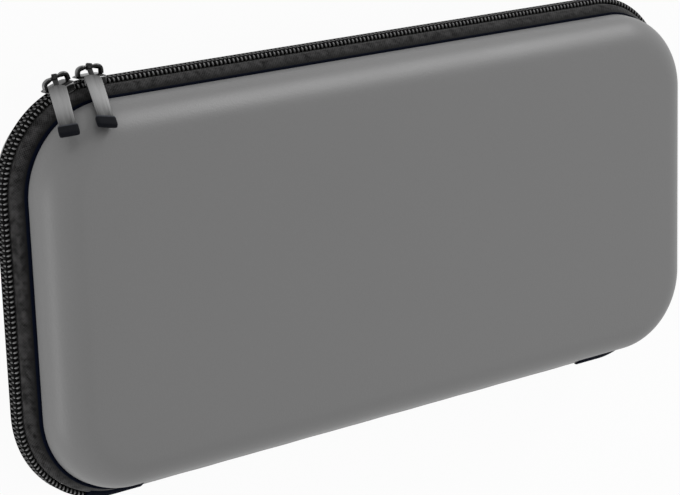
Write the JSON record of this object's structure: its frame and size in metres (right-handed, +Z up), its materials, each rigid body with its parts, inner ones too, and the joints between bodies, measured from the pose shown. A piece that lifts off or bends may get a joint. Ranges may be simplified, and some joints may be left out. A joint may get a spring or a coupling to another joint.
{
  "type": "portable game console case",
  "caption": "Slim hard carrying case for a handheld game console: two moulded half shells on a soft spine, closed by a coil zip with two sliders.",
  "frame": {"origin": "centre of the back shell's flat face, which the case lies on", "axes": "+X along the long zip side, +Y from the spine to the zip, +Z up through the front face"},
  "size_m": [0.26, 0.1304, 0.0411],
  "materials": {
    "shell": "satin coated, fine grain",
    "spine": "satin coated",
    "binding": "matt",
    "zip_tape": "woven, matt",
    "zip_coil": "satin nylon",
    "lining": "short pile",
    "pocket": "woven",
    "slider": "gloss black",
    "pull_strap": "brushed satin",
    "pull_tip": "satin"
  },
  "bodies": {
    "base": {"back_shell": "shell", "back_rim_binding": "binding", "back_zip_tape": "zip_tape", "back_zip_coil": "zip_coil", "back_zip_tabs": "binding", "spine_hinge": "spine", "console_tray": "lining"},
    "lid": {"front_shell": "shell", "front_rim_binding": "binding", "front_zip_tape": "zip_tape", "front_zip_coil": "zip_coil", "front_zip_tabs": "binding", "card_panel": "lining", "upper_card_pockets": "pocket", "lower_card_pockets": "pocket"},
    "left_slider": {"left_slider_body": "slider", "left_slider_crown": "slider"},
    "left_pull": {"left_pull_strap": "pull_strap", "left_pull_tip": "pull_tip"},
    "right_slider": {"right_slider_body": "slider", "right_slider_crown": "slider"},
    "right_pull": {"right_pull_strap": "pull_strap", "right_pull_tip": "pull_tip"}
  },
  "joints": [
    {"name": "lid_fold", "type": "hinge", "parent": "base", "child": "lid", "pos_m": [0, -0.06275, 0.0175], "axis": [1, 0, 0], "range_deg": [0, 180], "deforming": ["spine_hinge"]},
    {"name": "left_slider_run", "type": "hinge", "parent": "lid", "child": "left_slider", "pos_m": [-0.099, 0.03175, 0.0175], "axis": [0, 0, 1], "range_deg": [0, 64]},
    {"name": "right_slider_run", "type": "slide", "parent": "lid", "child": "right_slider", "axis": [1, 0, 0], "range_m": [0, 0.185]},
    {"name": "left_pull_swing", "type": "hinge", "parent": "left_slider", "child": "left_pull", "pos_m": [-0.10913, 0.06447, 0.0175], "axis": [-0.9553, -0.2957, 0], "range_deg": [-8, 138]},
    {"name": "right_pull_swing", "type": "hinge", "parent": "right_slider", "child": "right_pull", "pos_m": [-0.0976, 0.066, 0.0175], "axis": [-1, 0, 0], "range_deg": [0, 150]}
  ]
}
